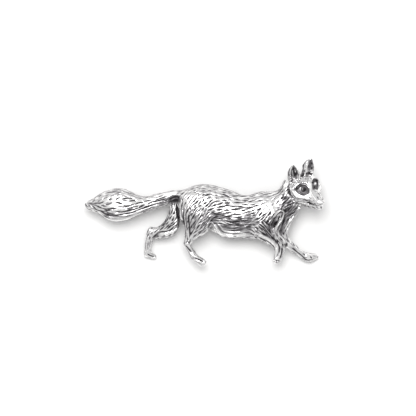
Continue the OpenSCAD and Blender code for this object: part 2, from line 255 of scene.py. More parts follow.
def layOn(across, down):
    # the place on the casting under a place on the sheet
    x, y = onSheet(across, down)
    hit = surface.ray_cast(Vector((x, y, blankSet["above"])), Vector((0, 0, -1)))[0]
    return hit if hit else surface.find_nearest(Vector((x, y, blankSet["middle"])))[0]


# Columns: height in mm (below 0 is cut), half width in mm, dark finish of a cut 0 to 1, then the places.
modelledLines = {
    "thighBackA": (-0.3, 0.27, 0.95,
        [(182.6, 205.5), (182.8, 213), (183.2, 221), (184.6, 230), (186, 239)]),
    "thighBackB": (-0.28, 0.29, 1.0, [(188, 212), (188.3, 219), (188.9, 227), (189.4, 234), (188.6, 240)]),
    "thighBackC": (-0.1, 0.32, 0.5, [(185.6, 216), (186.3, 224), (187.2, 232)]),
    "thighBackRidge": (0.18, 0.26, 0.0,
        [(180.6, 200), (180.2, 210), (180.8, 220), (182.4, 229), (183.6, 238)]),
    "behindThigh": (-0.4, 0.36, 0.9, [(175.8, 205), (177, 211), (178.4, 217), (179.6, 222), (178.8, 226)]),
    "rootHollow": (-0.6, 0.55, 0.95,
        [(167.5, 201.2), (170.5, 199.6), (174, 197.4), (177, 197.2), (178, 200.5)]),
    "bellyCut": (-0.16, 0.2, 0.6,
        [(214, 222.6), (218, 227.2), (222, 231.6), (228, 233.8), (236, 234), (246, 232.8)]),
    "bellyRidge": (0.34, 0.26, 0.0,
        [(211.4, 222.6), (214, 225.2), (217.4, 229.4), (221, 232.8), (226, 235.2), (234, 235.6),
         (242, 235.0), (250, 233.4)]),
    # painted shade: the dark finish of this shallow cut stands for the shade along the belly's lower edge
    "bellyEdge": (-0.08, 0.3, 0.55,
        [(217, 233), (221, 236.6), (226, 238.8), (234, 239.4), (242, 239), (250, 237.2), (256, 236.2)]),
    "bellyRidgeInner": (0.22, 0.22, 0.0,
        [(215.6, 222.4), (219.8, 226), (223, 230), (228, 232), (236, 232.2), (244, 231.2)]),
    "bellyDot": (-0.16, 0.3, 0.9, [(233.2, 236.2), (236.4, 236.2)]),
    "thighUnderRidge": (0.2, 0.3, 0.0,
        [(190.3, 242.4), (194.6, 238.2), (198.9, 235.3), (204.6, 232.5), (209, 228.4), (210.6, 225)]),
    "thighUnderCut": (-0.18, 0.2, 0.8, [(196, 234.2), (202, 230.8), (207, 227)]),
    "lambdaRidge": (0.44, 0.24, 0.0,
        [(270.6, 220.4), (273.4, 217), (276.9, 212.9), (280.4, 210.7), (283.4, 212.6), (282.6, 216.4),
         (279.7, 221.4), (276.1, 227.1), (274.7, 230.7), (274.2, 233.6), (277.6, 239.3), (282.6, 243.6)]),
    "shoulderCutA": (-0.2, 0.17, 0.9, [(262.6, 222.4), (264.6, 219.4), (267, 216.6)]),
    "shoulderCutB": (-0.2, 0.17, 0.9, [(266, 225), (268.4, 221.4), (270.6, 217.6)]),
    "shoulderCutC": (-0.22, 0.2, 1.0, [(269.6, 227.6), (272, 223.4), (274.6, 218.6), (277.4, 214.8)]),
    "shoulderCutD": (-0.2, 0.16, 0.9, [(273, 229), (275.4, 224.4), (278, 219.4), (280, 215.6)]),
    "lowShoulderA": (-0.2, 0.17, 0.9, [(253.6, 226.6), (256, 229), (258.4, 231.8)]),
    "lowShoulderB": (-0.2, 0.18, 0.95, [(257.6, 225.6), (260.4, 228.6), (263, 232)]),
    "lowShoulderC": (-0.2, 0.18, 0.95, [(261.6, 225.8), (265, 229.6), (268.4, 233.8)]),
    "lowShoulderD": (-0.2, 0.18, 0.95, [(265.6, 227.6), (268.8, 231.2), (272, 235.4)]),
    "neckHollow": (-0.4, 0.55, 0.6, [(285.5, 207), (285, 213), (283.5, 219), (281, 225), (279.6, 230)]),
    "neckHollowB": (-0.3, 0.4, 0.7, [(284.5, 221), (282, 227), (281, 231), (283, 235)]),
    "chestRidge": (0.3, 0.26, 0.0,
        [(296.9, 213.6), (291.1, 220), (287.6, 224.3), (284.9, 227.9), (284.2, 232)]),
    "chestEdge": (0.2, 0.22, 0.0,
        [(299.4, 210.4), (293.8, 217.8), (289.4, 224.4), (287.4, 231), (287.2, 237)]),
    "chestCut": (-0.25, 0.18, 0.9, [(298.6, 210.6), (292.6, 218.4), (288.4, 224.8), (286.2, 231)]),
    "foreRidgeOuter": (0.26, 0.32, 0.0,
        [(252, 233), (257.6, 234.6), (265.4, 237.4), (271.1, 240.6), (274.9, 245.4), (275.8, 250.7),
         (275.2, 256.4)]),
    "foreUnderLine": (-0.14, 0.2, 0.9,
        [(253, 236.6), (260, 237.9), (266.7, 241.2), (272, 245.4), (274.4, 250), (274.4, 256)]),
    "foreInnerCut": (-0.22, 0.18, 0.9, [(256, 229), (261, 232.4), (267, 236), (272.6, 241)]),
    "foreMidLine": (-0.28, 0.22, 1.0,
        [(270.4, 235.2), (275.4, 240.4), (278.6, 245.7), (279, 250), (278.4, 256)]),
    "foreRightLine": (-0.2, 0.28, 1.0, [(282.7, 246.4), (282, 251), (280.8, 256), (279.4, 260.2)]),
    "forePawUnder": (-0.2, 0.18, 0.9, [(274.6, 259.8), (277, 261), (280, 260)]),
    "farForeRidge": (0.2, 0.26, 0.0, [(278.3, 235), (282, 238.4), (285.4, 242.1)]),
    "farForeRidgeB": (0.2, 0.3, 0.0,
        [(286.9, 240.4), (293.3, 246.4), (301.1, 251.6), (308.3, 255.2), (315, 256)]),
    "farForeCut": (-0.24, 0.23, 1.0,
        [(288.3, 246), (295.4, 250.8), (302.6, 256.8), (306.9, 260.4), (311.1, 260.2), (316.4, 258.4)]),
    "farForeCutB": (-0.18, 0.19, 0.9, [(289.7, 242.8), (294, 246.8)]),
    "farForeCutC": (-0.18, 0.18, 0.95, [(302.4, 253.4), (306.1, 255.6)]),
    "farForeToe": (-0.18, 0.18, 0.95, [(310.2, 256.2), (312.6, 259)]),
    "nearHindCut": (-0.26, 0.3, 1.0, [(184.6, 244.8), (186.8, 247.6), (189.2, 250.6), (191.2, 253)]),
    "nearHindEdgeL": (-0.08, 0.12, 0.4, [(183.6, 247), (186.4, 251.6), (189.6, 256.4), (192, 259)]),
    "nearHindEdgeR": (-0.08, 0.12, 0.4, [(190.2, 245.2), (192.4, 249), (194.6, 252.8)]),
    "hockCut": (-0.18, 0.18, 0.8, [(184.6, 242.6), (187, 242), (189.6, 243.4)]),
    "nearHindPawCut": (-0.26, 0.24, 1.0,
        [(191.6, 256.2), (193.4, 258.2), (198, 259.2), (202, 260.8), (205.4, 262.4)]),
    "nearHindPawTop": (-0.08, 0.12, 0.35, [(196.4, 255.4), (201, 257.8), (204.8, 260.2)]),
    "nearHindPawLow": (-0.08, 0.12, 0.35, [(192.6, 260), (197, 262.4), (202, 264.6)]),
    "farThighEdge": (-0.1, 0.13, 0.45,
        [(170.4, 206), (169.4, 213), (167, 218.5), (163.4, 223.5), (158.4, 226.8), (151, 228.8)]),
    "farUnderRidge": (0.18, 0.26, 0.0,
        [(160, 234.2), (166, 234.4), (171, 232.6), (175.4, 229.4), (177.4, 226)]),
    "farUnderCut": (-0.22, 0.2, 0.9,
        [(156.4, 233.6), (161, 232), (166, 231.6), (171, 229.8), (175.4, 226.4)]),
    "farUnderLine": (-0.14, 0.14, 0.75, [(158.6, 237.2), (163, 236.8), (168.4, 236.4), (173.1, 233.8)]),
    "farHockCut": (-0.2, 0.18, 0.85, [(158, 233), (154.6, 235.4), (151.6, 238.6)]),
    "farHockCutB": (-0.12, 0.13, 0.5, [(149.4, 231.5), (148.2, 235), (149.2, 239)]),
    "farShankCut": (-0.16, 0.15, 0.6, [(150.4, 239.4), (149.4, 244), (149.4, 249)]),
    "farShankEdge": (-0.08, 0.12, 0.4, [(147.4, 231), (146.2, 238), (145.2, 246), (145.6, 252)]),
    "farPawCut": (-0.22, 0.18, 0.95, [(146, 253.6), (150.3, 256), (155, 256.9)]),
    "farPawToe": (-0.14, 0.13, 0.6, [(152.4, 251.4), (153.6, 253.2), (155.2, 254.6)]),
    "farPawToeB": (-0.12, 0.12, 0.5, [(151.8, 256), (153.4, 257.8)]),
    "nearHindToeA": (-0.14, 0.12, 0.6, [(202.2, 259.4), (205.4, 261)]),
    "nearHindToeB": (-0.14, 0.12, 0.6, [(201, 262.2), (204.6, 264)]),
    "farForeToeA": (-0.14, 0.12, 0.6, [(313.4, 255.4), (316.8, 256.6)]),
    "farForeToeB": (-0.14, 0.12, 0.6, [(313, 259.2), (316.4, 258)]),
    "nearForeToeA": (-0.14, 0.12, 0.6, [(276.4, 261), (276, 263.2)]),
    "nearForeToeB": (-0.14, 0.12, 0.6, [(278.6, 260.6), (279, 262.8)]),
    "tailLowA": (-0.24, 0.2, 0.85,
        [(89.4, 208.4), (93, 209.4), (99.2, 211), (104, 211.6), (108.5, 210.2), (113.3, 207.8)]),
    "tailLowB": (-0.28, 0.24, 1.0,
        [(102, 213.6), (107, 215.8), (112, 216.6), (120, 215.3), (131.7, 213.2), (141.7, 209.3),
         (151.7, 206), (160, 203.6), (167, 201.8)]),
    "tailLowC": (-0.26, 0.2, 0.95, [(114, 212.8), (122, 212.6), (131, 210.8), (140, 208), (147, 205.2)]),
    "tailLowD": (-0.2, 0.18, 0.85, [(125, 209.4), (133, 207.6), (141, 206)]),
    "tailDashA": (-0.22, 0.22, 1.0, [(115.4, 202.8), (119, 203.2), (122.6, 204.8)]),
    "tailDashB": (-0.22, 0.22, 1.0, [(122.6, 206), (126, 206.7), (129.6, 205.8)]),
    "tailDashC": (-0.2, 0.21, 0.95, [(120.6, 199.8), (127, 198.4), (134.4, 198.9)]),
    "tailDashD": (-0.2, 0.21, 0.95, [(128.6, 201.6), (133, 200.8), (137, 201.2)]),
    "tailDashE": (-0.2, 0.2, 0.95, [(134.6, 204.6), (139, 203), (144, 202.4)]),
    "tailDashF": (-0.18, 0.2, 0.85, [(97, 204.2), (101, 203), (104.4, 201.4)]),
    "tailDashG": (-0.18, 0.2, 0.85, [(104.4, 205.4), (108.5, 204.4), (112.4, 202.4)]),
    "tailDashH": (-0.18, 0.25, 0.95, [(108.4, 199.8), (111.6, 199)]),
    "tailDashI": (-0.18, 0.22, 0.95, [(115.4, 199.8), (119, 197.8)]),
    "tailDashJ": (-0.18, 0.19, 0.85, [(116.6, 195.8), (120.4, 194.2)]),
    "tailDashK": (-0.16, 0.16, 0.7, [(101.6, 199.6), (105, 198), (108, 197)]),
    "tailTopA": (-0.12, 0.3, 0.42, [(103, 194.4), (108, 192.8), (114, 192.2), (120, 190.8)]),
    "tailTopB": (-0.12, 0.26, 0.45, [(120, 190.4), (125, 192.2), (131, 194), (138, 195.4)]),
    "tailUpper": (-0.1, 0.16, 0.5, [(89, 200.8), (93, 198.2), (97, 194.8), (101, 192)]),
    "tailUnder": (0.2, 0.5, 0.0, [(104, 218), (112, 220), (122, 219.6), (132, 216.6), (142, 213)]),
    "tailRootA": (-0.24, 0.18, 0.95, [(148, 203.2), (156, 201.4), (164, 199.4), (169, 198.8)]),
    "tailRootB": (-0.22, 0.18, 0.9, [(154, 200.4), (161, 198.6), (167, 196.6)]),
    "tailRootC": (-0.2, 0.16, 0.7, [(150, 209), (158, 206.8), (166, 204.6)]),
    "tailRootRidge": (0.24, 0.3, 0.0, [(160, 197.4), (167, 195), (173, 192.8), (177, 191.6)]),
    "neckLine": (-0.22, 0.2, 0.85, [(276, 190.4), (280, 188), (283, 184.4), (284.2, 180.8)]),
    "nearCheekEdge": (-0.28, 0.26, 0.65,
        [(287, 183), (287.4, 187), (288, 191), (289.6, 195), (292.4, 198.4), (295, 200)]),
    "nearCheekRidge": (0.14, 0.28, 0.0,
        [(289.8, 184), (290.8, 189), (292.8, 193.6), (297, 197), (303, 198.4), (309, 199.6)]),
    "mouthLine": (-0.24, 0.19, 0.85,
        [(293.4, 200), (296.7, 199.9), (300, 199.8), (303.3, 200.2), (307.8, 201.5), (311.7, 201.9)]),
    "mouthCorner": (-0.2, 0.2, 0.9, [(305.4, 202.6), (308.6, 203.3), (311.4, 203.8)]),
    "mouthFront": (-0.2, 0.16, 0.85, [(316.7, 206.2), (319.4, 205.1), (322.8, 204.3)]),
    "noseSide": (-0.1, 0.12, 0.6, [(315.8, 196.8), (317.2, 198.8), (318.2, 200.2)]),
    "jawRidge": (0.14, 0.28, 0.0, [(299, 202.6), (303, 203.8), (308, 205.4), (314, 206.9)]),
    "jawCut": (-0.18, 0.17, 0.8, [(290.4, 201.5), (294, 203.2), (298, 202.2)]),
    "jawDotA": (-0.16, 0.17, 0.8, [(303.8, 205.2), (305.2, 205.5)]),
    "jawDotB": (-0.16, 0.17, 0.8, [(307.4, 207.3), (309, 206.9)]),
    "chinDot": (-0.14, 0.17, 0.85, [(320.2, 208.8), (321.4, 209)]),
    "browRidge": (0.16, 0.26, 0.0,
        [(305.5, 180.6), (308.6, 183.4), (309.8, 187.6), (310.4, 192.6), (313.4, 198.2), (317, 202)]),
    "muzzleCut": (-0.12, 0.12, 0.6, [(306, 197), (309, 198.4), (311, 199)]),
    "farCheekA": (-0.12, 0.15, 0.8, [(319.6, 191.4), (321.4, 188.8)]),
    "farCheekB": (-0.12, 0.15, 0.8, [(316.6, 192.6), (318.2, 194.6), (319.8, 194.2)]),
    "farCheekC": (-0.1, 0.13, 0.6, [(316.2, 196.2), (317.4, 198.8)]),
    "whiskerA": (-0.14, 0.13, 0.7, [(319.2, 188.6), (320.8, 189.4), (321.4, 191)]),
    "whiskerB": (-0.14, 0.13, 0.75, [(316.4, 192.6), (317.8, 193.8), (318.8, 192.8)]),
    # painted shade: the dark finish of this cut stands for the back of the far ear in shade
    "farEarBack": (-0.22, 0.36, 1.0,
        [(304.9, 159.8), (303.4, 163), (302.3, 166.4), (301.8, 170), (301.6, 174)]),
    "farEarRidge": (0.28, 0.28, 0.0,
        [(308.4, 159.8), (307, 162.4), (306, 166), (305.2, 170), (305.6, 173.8)]),
    "farEarRight": (-0.1, 0.17, 0.85,
        [(310.6, 159.2), (312.4, 161.2), (312.8, 164.4), (313.2, 167.4), (312.6, 170.8)]),
    "farEarFoot": (-0.16, 0.15, 0.85, [(307.6, 172.2), (310, 173.8), (312, 175)]),
    "nearEarEdge": (-0.1, 0.24, 0.85, [(291.2, 165.4), (289, 169), (287.9, 173.2), (287.6, 178.6)]),
    "nearEarRim": (0.16, 0.18, 0.0, [(291.8, 166.6), (290.4, 170), (289.8, 174), (290.4, 178)]),
    "nearEarHairA": (0.1, 0.12, 0.0, [(291.8, 170.6), (292.2, 174), (293, 177)]),
    "nearEarHairB": (0.1, 0.12, 0.0, [(294.2, 169.4), (294.4, 172), (295, 174.6)]),
    "nearEarRight": (-0.1, 0.17, 0.9, [(293.2, 165.8), (295.4, 168.8), (297.1, 172.6), (297.6, 176.8)]),
    "eyeLidUpper": (-0.16, 0.19, 1.0,
        [(294.6, 189.2), (297.2, 186.5), (300, 184.3), (303.3, 183.4), (306.1, 184.6), (308, 187.4)]),
    "eyeLidLower": (-0.14, 0.18, 0.95,
        [(294.6, 189.6), (296.4, 192.4), (299.2, 194.6), (302.8, 195.7), (306.1, 194.8), (308.3, 191.8)]),
    "foreheadA": (-0.12, 0.14, 0.7, [(297.6, 180), (299.4, 181.4)]),
    "foreheadB": (-0.12, 0.14, 0.6, [(302.6, 180.8), (304, 181.6)]),
    "foreheadC": (-0.12, 0.13, 0.5, [(291.6, 181.4), (293.4, 182.8), (295, 182.8)]),
    "foreheadD": (-0.12, 0.13, 0.5, [(308.4, 177.6), (310, 179), (310.4, 181)]),
    "cheekDot": (-0.14, 0.18, 0.8, [(288.2, 186.4), (288.8, 188.4)]),
    "cheekNick": (-0.12, 0.13, 0.6, [(291, 195.4), (293, 196.4), (294.6, 198.4)]),
}
# A step in sheet steps, the reach in half widths, and shares of the line's form.
lineSet = {
    "step": 1.0, "reach": 3.0, "facing": -0.35, "fade": (0.0, 0.25), "endWidth": 0.45, "endHeight": 0.3,
    "inkEdge": (0.22, 0.8), "ridgeWipe": 0.8, "ridgePolish": 0.6,
}
points = base
normals = readNormals(fox)
raised, cutDepth, dark, polishAndGlint = np.zeros((4, len(points)))
everywhere = slice(None)


def modelLine(height, halfWidth, finish, places):
    # one raised or cut line, laid on the casting and softened at its ends
    run = throughPoints([(across, down, 0) for across, down in places], lineSet["step"])
    line = np.array([layOn(p.x, p.y) for p in run])
    reach = lineSet["reach"] * halfWidth
    inside = ((points > line.min(axis=0) - reach) & (points < line.max(axis=0) + reach)).all(axis=1)
    near = np.flatnonzero(inside & (normals[:, 2] > lineSet["facing"]))
    distance, along = distanceToLine(points[near], line)
    ends = easeBetween(*lineSet["fade"], along) * easeBetween(*lineSet["fade"], 1.0 - along)
    width = halfWidth * riseFrom(lineSet["endWidth"], ends)
    form = np.exp(-(distance / width) ** 2) * riseFrom(lineSet["endHeight"], ends)
    if height > 0:
        keepMost(raised, near, height * form)
        keepMost(polishAndGlint, near, lineSet["ridgePolish"] * form)
        dark[near] *= 1.0 - lineSet["ridgeWipe"] * form
    else:
        keepMost(cutDepth, near, -height * form)
        keepMost(dark, near, finish * easeBetween(*lineSet["inkEdge"], form))


# Columns: across, down, half length and half width in sheet steps, turn in degrees, height in mm
# (below 0 is sunk), dark finish 0 to 1 (below 0 is polished clean, above 1 fills more of the oval).
# The dark finish is patina in the sockets and hollows, and painted shade where marked; the glints are
# painted highlights.
modelledSpots = {
    "nearSocket": (302.0, 189.6, 7.8, 7.0, -8, -0.06, 0.8),
    "nearCorner": (296.0, 189.3, 3.4, 2.0, 4, -0.14, 0.9),
    "nearPupil": (303.4, 189.6, 2.6, 3.0, 0, -0.05, 1.2),
    # painted highlight: the glint on the near eye, a clean bright spot in the dark socket
    "nearGlint": (300.4, 189.5, 1.5, 1.8, 30, 0.06, -1.0),
    "nearOverCorner": (296.9, 184.9, 3.4, 1.3, 36, 0.05, -0.9),
    "nearUnderCorner": (297.2, 194.6, 3.6, 1.3, -34, 0.05, -0.9),
    "farSocket": (314.6, 184.4, 7.0, 3.5, 72, -0.08, 0.84),
    "farTop": (316.4, 180.6, 2.0, 1.6, 0, -0.05, 1.0),
    "farFoot": (313.6, 188.2, 1.6, 1.5, 0, -0.05, 1.0),
    # painted highlight: the glint on the far eye, a clean bright spot in the dark socket
    "farGlint": (314.6, 184.1, 1.7, 1.2, 66, 0.04, -1.0),
    "farSocketEdge": (318.9, 189.2, 3.8, 2.1, 62, 0.05, -1.0),
    "farSocketBrow": (311.3, 179.4, 3.8, 1.9, 62, 0.04, -1.0),
    "nearEarHollow": (293.4, 172.4, 6.6, 3.5, 102, -0.3, 1.15),
    "nearEarFoot": (294.8, 180.0, 2.4, 1.4, -10, 0.1, -0.8),
    "farEarHollow": (309.7, 165.2, 6.2, 3.0, 82, -0.28, 0.75),
    "farEarDarkA": (311.4, 164.6, 1.9, 1.0, 100, -0.06, 0.9),
    "farEarDarkB": (311.3, 169.0, 1.7, 1.3, 70, -0.08, 0.9),
    "farEarDarkC": (310.9, 160.8, 1.6, 1.0, -30, -0.05, 0.85),
    # painted shade: the far ear's back and the hollow between the ears are darkened where shade falls; the
    # sunk hollow also holds patina
    "farEarShade": (302.0, 171.6, 3.4, 1.6, 86, -0.1, 0.7),
    "betweenEars": (302.0, 175.2, 1.9, 2.2, 0, -0.3, 0.9),
    "underRoot": (172.8, 200.2, 8.2, 4.6, 12, -0.3, 0.96),
    "tailPatch": (144.6, 211.2, 4.6, 1.5, 20, -0.08, 0.45),
    "tailLowDark": (109.6, 214.9, 6.0, 2.0, -4, -0.08, 0.9),
    "tailLowDarkB": (125.0, 212.2, 8.0, 1.5, 10, -0.06, 0.7),
    # painted shade: darkening along the lower edge of the tail's stalk
    "stalkShade": (163.0, 202.4, 7.5, 2.0, 14, -0.06, 0.65),
    "crotch": (178.8, 223.0, 6.0, 1.8, 86, -0.16, 0.6),
    "farHockHollow": (155.4, 236.0, 4.2, 1.9, 40, -0.18, 0.6),
    "elbowHollow": (272.4, 224.0, 8.0, 3.4, 62, -0.16, 0.3),
    "betweenFore": (286.0, 245.0, 2.6, 1.5, 70, -0.2, 0.8),
    # painted shade: darkening on the neck and the breast, below the head
    "neckShade": (287.0, 206.5, 9.0, 5.0, 52, -0.1, 0.5),
    "breastShade": (282.4, 226.0, 8.4, 2.8, 72, -0.12, 0.55),
    "behindShoulder": (247.4, 221.5, 12.0, 3.8, 94, -0.12, 0.6),
    "thighFront": (213.4, 218.5, 8.6, 3.8, 100, -0.14, 0.5),
    "flankFoot": (233.0, 228.0, 16.0, 4.2, 0, -0.1, 0.35),
}
spotSet = {"edge": (0.4, 1.25), "deepest": 3.0}  # shares of the oval, and mm from its own level


def modelSpot(across, down, halfLong, halfShort, turn, height, finish):
    # one sunk, raised or polished oval; the glints are clean spots that are painted highlights
    x, y = onSheet(across, down)
    level = layOn(across, down).z
    angle = math.radians(turn)
    dx, dy = points[:, 0] - x, points[:, 1] - y
    along = (dx * math.cos(angle) + dy * math.sin(angle)) / (halfLong * sheet["step"])
    aside = (dy * math.cos(angle) - dx * math.sin(angle)) / (halfShort * sheet["step"])
    onTop = (normals[:, 2] > 0.0) & (np.abs(points[:, 2] - level) < spotSet["deepest"])
    form = (1.0 - easeBetween(*spotSet["edge"], np.hypot(along, aside))) * onTop
    keepMost(raised if height > 0 else cutDepth, everywhere, abs(height) * form)
    keepMost(polishAndGlint if finish < 0 else dark, everywhere, abs(finish) * form)


# The coat. Columns: across, down, lie of the hair in degrees, stroke length, gap between strokes and
# cut depth in mm, how dark the ground between the strokes stays, and how dark the strokes are.
coat = [
    (90, 199, 38, 1.8, 0.9, 0.12, 0.08, 0.45), (90, 208, -30, 1.8, 0.9, 0.14, 0.1, 0.65),
    (102, 194, 28, 2.0, 1.1, 0.1, 0.25, 0.35), (104, 201, 26, 1.9, 1.5, 0.1, 0.01, 0.35),
    (104, 209, -12, 2.4, 1.0, 0.15, 0.08, 0.8), (104, 215, -18, 2.6, 0.8, 0.14, 0.3, 0.9),
    (116, 190, 6, 2.2, 0.9, 0.1, 0.28, 0.4), (117, 197, 20, 1.6, 1.5, 0.1, 0.01, 0.35),
    (117, 205, -14, 2.0, 1.5, 0.1, 0.01, 0.35), (116, 213, 4, 3.0, 0.9, 0.16, 0.2, 0.9),
    (116, 220, 6, 3.0, 0.9, 0.1, 0.12, 0.4), (130, 192, -22, 2.0, 0.9, 0.1, 0.2, 0.45),
    (130, 201, 4, 2.4, 1.5, 0.1, 0.01, 0.4), (130, 208, 12, 2.8, 1.0, 0.15, 0.08, 0.7),
    (132, 215, 14, 3.0, 0.8, 0.15, 0.25, 0.85), (146, 197, -6, 2.2, 1.0, 0.12, 0.08, 0.5),
    (146, 203, 12, 2.6, 1.1, 0.15, 0.05, 0.7), (148, 210, 20, 2.6, 0.9, 0.15, 0.3, 0.7),
    (160, 194, 14, 2.4, 0.9, 0.11, 0.15, 0.45), (160, 200, 14, 3.0, 0.8, 0.15, 0.15, 0.85),
    (162, 205, 14, 2.8, 0.7, 0.16, 0.3, 0.85), (174, 190, 14, 2.2, 0.8, 0.1, 0.15, 0.4),
    (186, 188, 10, 2.0, 0.9, 0.1, 0.28, 0.35), (186, 195, 50, 1.3, 0.75, 0.12, 0.1, 0.55),
    (184, 203, 60, 1.5, 0.9, 0.14, 0.04, 0.6), (181, 212, 80, 2.4, 0.7, 0.14, 0.2, 0.9),
    (198, 185, 2, 2.2, 0.9, 0.1, 0.28, 0.35), (198, 191, 28, 1.4, 0.8, 0.11, 0.1, 0.5),
    (198, 197, 42, 1.3, 0.78, 0.13, 0.02, 0.6), (197, 206, 48, 1.5, 0.68, 0.16, 0.06, 1.0),
    (195, 215, 55, 1.9, 0.6, 0.18, 0.44, 1.0), (195, 226, 58, 1.9, 0.6, 0.17, 0.42, 1.0),
    (206, 222, 48, 1.9, 0.6, 0.18, 0.54, 1.0), (206, 229, 38, 1.9, 0.6, 0.16, 0.3, 0.95),
    (208, 203, 36, 1.5, 0.78, 0.16, 0.03, 0.9), (210, 211, 34, 1.6, 0.72, 0.17, 0.26, 1.0),
    (216, 187, -8, 2.2, 0.9, 0.1, 0.25, 0.4), (216, 194, 4, 1.7, 0.95, 0.13, 0.05, 0.5),
    (218, 200, 8, 1.6, 1.0, 0.16, 0.02, 0.75), (222, 207, 12, 2.2, 0.85, 0.17, 0.08, 1.0),
    (222, 216, 8, 2.2, 0.75, 0.17, 0.7, 1.0), (222, 226, -14, 2.2, 0.7, 0.16, 0.75, 0.95),
    (232, 192, -14, 2.2, 0.9, 0.11, 0.2, 0.45), (234, 199, 0, 2.3, 0.95, 0.15, 0.02, 0.8),
    (237, 206, 4, 2.6, 0.95, 0.16, 0.03, 1.0), (237, 213, 4, 2.8, 0.9, 0.17, 0.12, 0.95),
    (237, 220, 2, 2.4, 0.75, 0.16, 0.8, 1.0), (238, 228, -2, 2.4, 0.7, 0.15, 0.75, 0.95),
    (250, 195, 6, 2.2, 0.9, 0.12, 0.18, 0.5), (252, 203, 12, 2.2, 0.95, 0.16, 0.06, 1.0),
    (254, 212, 24, 1.6, 0.85, 0.17, 0.28, 1.0), (253, 222, 20, 1.5, 0.75, 0.16, 0.55, 1.0),
    (256, 230, -20, 1.6, 0.75, 0.16, 0.28, 0.9), (266, 192, 12, 1.8, 0.9, 0.1, 0.15, 0.45),
    (268, 201, 20, 1.3, 1.9, 0.08, 0.0, 0.3), (266, 208, 34, 1.4, 1.9, 0.1, 0.0, 0.4),
    (262, 216, 44, 1.8, 0.8, 0.17, 0.32, 1.0), (264, 226, -42, 2.0, 0.7, 0.18, 0.6, 1.0),
    (270, 233, -48, 2.0, 0.7, 0.18, 0.55, 1.0), (271, 219, 56, 2.0, 0.65, 0.17, 0.45, 1.0),
    (277, 191, 38, 1.8, 0.9, 0.12, 0.15, 0.5), (276, 199, 40, 1.6, 1.3, 0.11, 0.03, 0.5),
    (284, 190, 55, 1.6, 0.75, 0.17, 0.22, 0.9), (285, 199, 42, 1.8, 0.65, 0.18, 0.8, 1.0),
    (288, 207, 42, 1.8, 0.65, 0.18, 0.9, 1.0), (294, 210, 48, 1.8, 0.65, 0.17, 0.6, 0.95),
    (286, 220, 62, 1.8, 0.65, 0.17, 0.65, 0.95), (275, 222, 62, 2.2, 0.6, 0.16, 0.4, 1.0),
    (281, 230, 66, 1.6, 0.65, 0.15, 0.5, 0.9), (282, 238, -52, 1.8, 0.7, 0.14, 0.18, 0.8),
    (277, 250, 86, 2.4, 0.9, 0.1, 0.05, 0.45), (277, 260, 60, 0.8, 0.9, 0.05, 0.05, 0.3),
    (293, 247, -44, 2.6, 0.9, 0.1, 0.06, 0.45), (302, 254, -42, 2.2, 0.9, 0.1, 0.06, 0.45),
    (312, 257, -18, 1.2, 1.0, 0.06, 0.05, 0.3), (198, 235, 50, 1.8, 0.7, 0.13, 0.15, 0.8),
    (188, 240, 78, 2.2, 0.8, 0.12, 0.12, 0.7), (189, 250, -58, 2.4, 1.0, 0.08, 0.04, 0.3),
    (200, 260, -28, 2.2, 1.0, 0.08, 0.04, 0.3), (172, 206, 80, 1.8, 0.8, 0.14, 0.04, 0.7),
    (172, 215, 58, 1.8, 0.7, 0.15, 0.06, 0.9), (169, 224, 44, 1.8, 0.7, 0.15, 0.1, 0.9),
    (158, 229, 22, 2.0, 0.75, 0.13, 0.1, 0.7), (155, 236, 40, 1.4, 0.6, 0.13, 0.3, 0.8),
    (148, 233, 60, 1.6, 0.9, 0.1, 0.06, 0.4), (147, 245, 84, 2.4, 1.0, 0.08, 0.04, 0.3),
    (150, 255, -26, 1.2, 1.0, 0.06, 0.06, 0.3), (290, 186, 80, 0.8, 0.6, 0.05, 0.04, 0.65),
    (295, 180, 52, 0.8, 0.55, 0.06, 0.05, 0.65), (302, 179, 62, 0.8, 0.6, 0.06, 0.04, 0.55),
    (309, 176, 52, 0.8, 0.6, 0.06, 0.05, 0.55), (310, 182, 80, 0.5, 1.0, 0.03, 0.02, 0.4),
    (297, 198, -20, 0.9, 0.6, 0.06, 0.05, 0.6), (292, 195, -50, 0.9, 0.6, 0.06, 0.06, 0.65),
    (305, 205.5, -15, 0.9, 0.6, 0.06, 0.08, 0.7), (313, 197, -50, 0.5, 1.6, 0.03, 0.0, 0.3),
    (320, 187, 75, 0.7, 0.7, 0.05, 0.05, 0.5), (319, 196, -60, 0.6, 0.7, 0.05, 0.04, 0.5),
    (292, 170, 100, 1.0, 0.6, 0.05, 0.05, 0.5), (309, 166, 76, 1.0, 0.6, 0.05, 0.05, 0.5),
    (217, 231.5, -50, 1.6, 1.4, 0.05, 0.0, 0.2), (226, 237, -10, 2.0, 1.5, 0.05, 0.0, 0.2),
    (240, 237, 4, 2.0, 1.5, 0.05, 0.0, 0.2),
]
# How strokes lie: lengths in mm, wander in degrees, pairs are the least and most of a draw.
coatSet = {
    "seed": 11, "blend": 0.05, "nearness": 2.0, "facing": -0.15, "lowest": 0.6, "oneIn": 3,
    "spread": (0.7, 1.15), "alongShare": 1.1, "acrossShare": 0.9, "steepest": 0.2, "cell": 3.2,
    "longer": (0.8, 1.7), "wander": 8.0, "step": 0.2, "overEdge": 0.1, "fewest": 4, "onRidge": 0.12,
    "margin": 0.7, "sameSide": 0.1, "lean": (0.3, 0.7), "swell": 0.7, "thinEnd": 0.08,
}
# The dark strokes, cut in; the face has smaller ones. Edges and facings are from and to.
strokeSet = {
    "faceAcross": 306, "faceDown": 189, "faceWide": 4.2, "faceHigh": 4.4, "faceLevel": 6.5,
    "faceDark": 0.3, "coatDark": 0.75, "half": 0.21, "halfPerGap": 0.12, "faceShare": 0.6,
    "halves": (0.75, 1.2), "depths": (0.8, 1.2), "round": 1.5, "rim": 0.25, "rimAt": 1.6, "rimHalf": 0.5,
    "darker": 1.56, "inks": (0.55, 1.1), "inkFacing": (-0.2, 0.35), "inkEdge": (0.3, 1.12), "inkSwell": 0.4,
}
